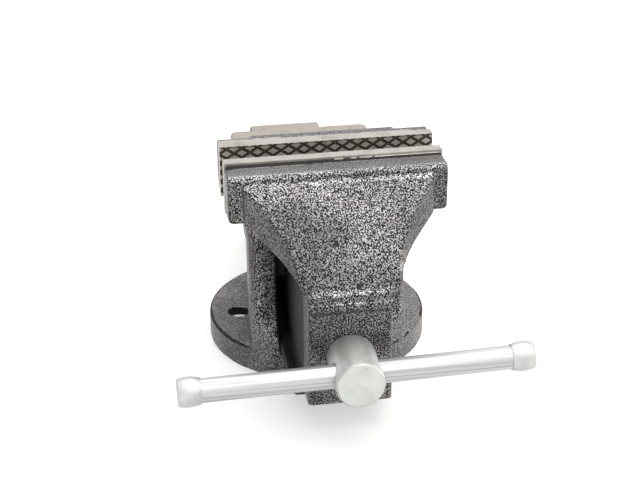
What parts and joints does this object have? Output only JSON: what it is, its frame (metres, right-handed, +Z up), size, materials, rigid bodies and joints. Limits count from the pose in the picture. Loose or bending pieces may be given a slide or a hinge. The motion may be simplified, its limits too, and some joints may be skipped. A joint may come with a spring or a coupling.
{
  "type": "bench vise",
  "caption": "Fixed-base bench vise: a sliding jaw on a boxed beam closes against a fixed jaw with an anvil, driven by a spindle and sliding T-bar, on a round bolt-down flange.",
  "frame": {"origin": "centre of the round base's underside, where the vise rests on the bench", "axes": "+X along the jaws to the right as seen from the handle, +Y from the handle towards the anvil, +Z up"},
  "size_m": [0.1592, 0.2386, 0.1179],
  "materials": {
    "hammertone_casting": "dark grey and silver hammertone enamel over cast iron, machined bare on the anvil, jaw seats and beam top",
    "ground_plate": "hardened steel, ground flat, crossed grooves on the gripping face",
    "black_screw": "black oxide",
    "zinc_steel": "turned steel, bright zinc plated",
    "bare_iron": "bare machined casting, oiled",
    "zinc_fastener": "bright zinc plated",
    "spring_steel": "oiled spring steel"
  },
  "bodies": {
    "fixed": {"fixed_body": "hammertone_casting", "fixed_jaw_plate": "ground_plate", "fixed_jaw_screws": "black_screw", "spindle_nut": "bare_iron", "nut_bolt": "zinc_fastener", "nut_washer": "zinc_fastener"},
    "jaw": {"moving_jaw": "hammertone_casting", "moving_jaw_plate": "ground_plate", "moving_jaw_screws": "black_screw"},
    "screw": {"spindle": "zinc_steel", "front_spring_washer": "zinc_fastener", "takeup_spring": "spring_steel", "rear_spring_washer": "zinc_fastener", "retaining_pin": "spring_steel"},
    "handle": {"handle_bar": "zinc_steel", "handle_cap_left": "zinc_steel", "handle_cap_right": "zinc_steel"}
  },
  "joints": [
    {"name": "jaw_slide", "type": "slide", "parent": "fixed", "child": "jaw", "axis": [0, -1, 0], "range_m": [-0.0132, 0.087]},
    {"name": "spindle_turn", "type": "hinge", "parent": "jaw", "child": "screw", "pos_m": [0, -0.115, 0.0388], "axis": [0, 1, 0], "range_deg": [-7836, 1194]},
    {"name": "handle_slide", "type": "slide", "parent": "screw", "child": "handle", "axis": [0.9998, 0, 0.0209], "range_m": [-0.0595, 0.0587]}
  ],
  "couplings": [
    {"joint": "spindle_turn", "follows": "jaw_slide", "rad_per_m": -1570.8}
  ]
}
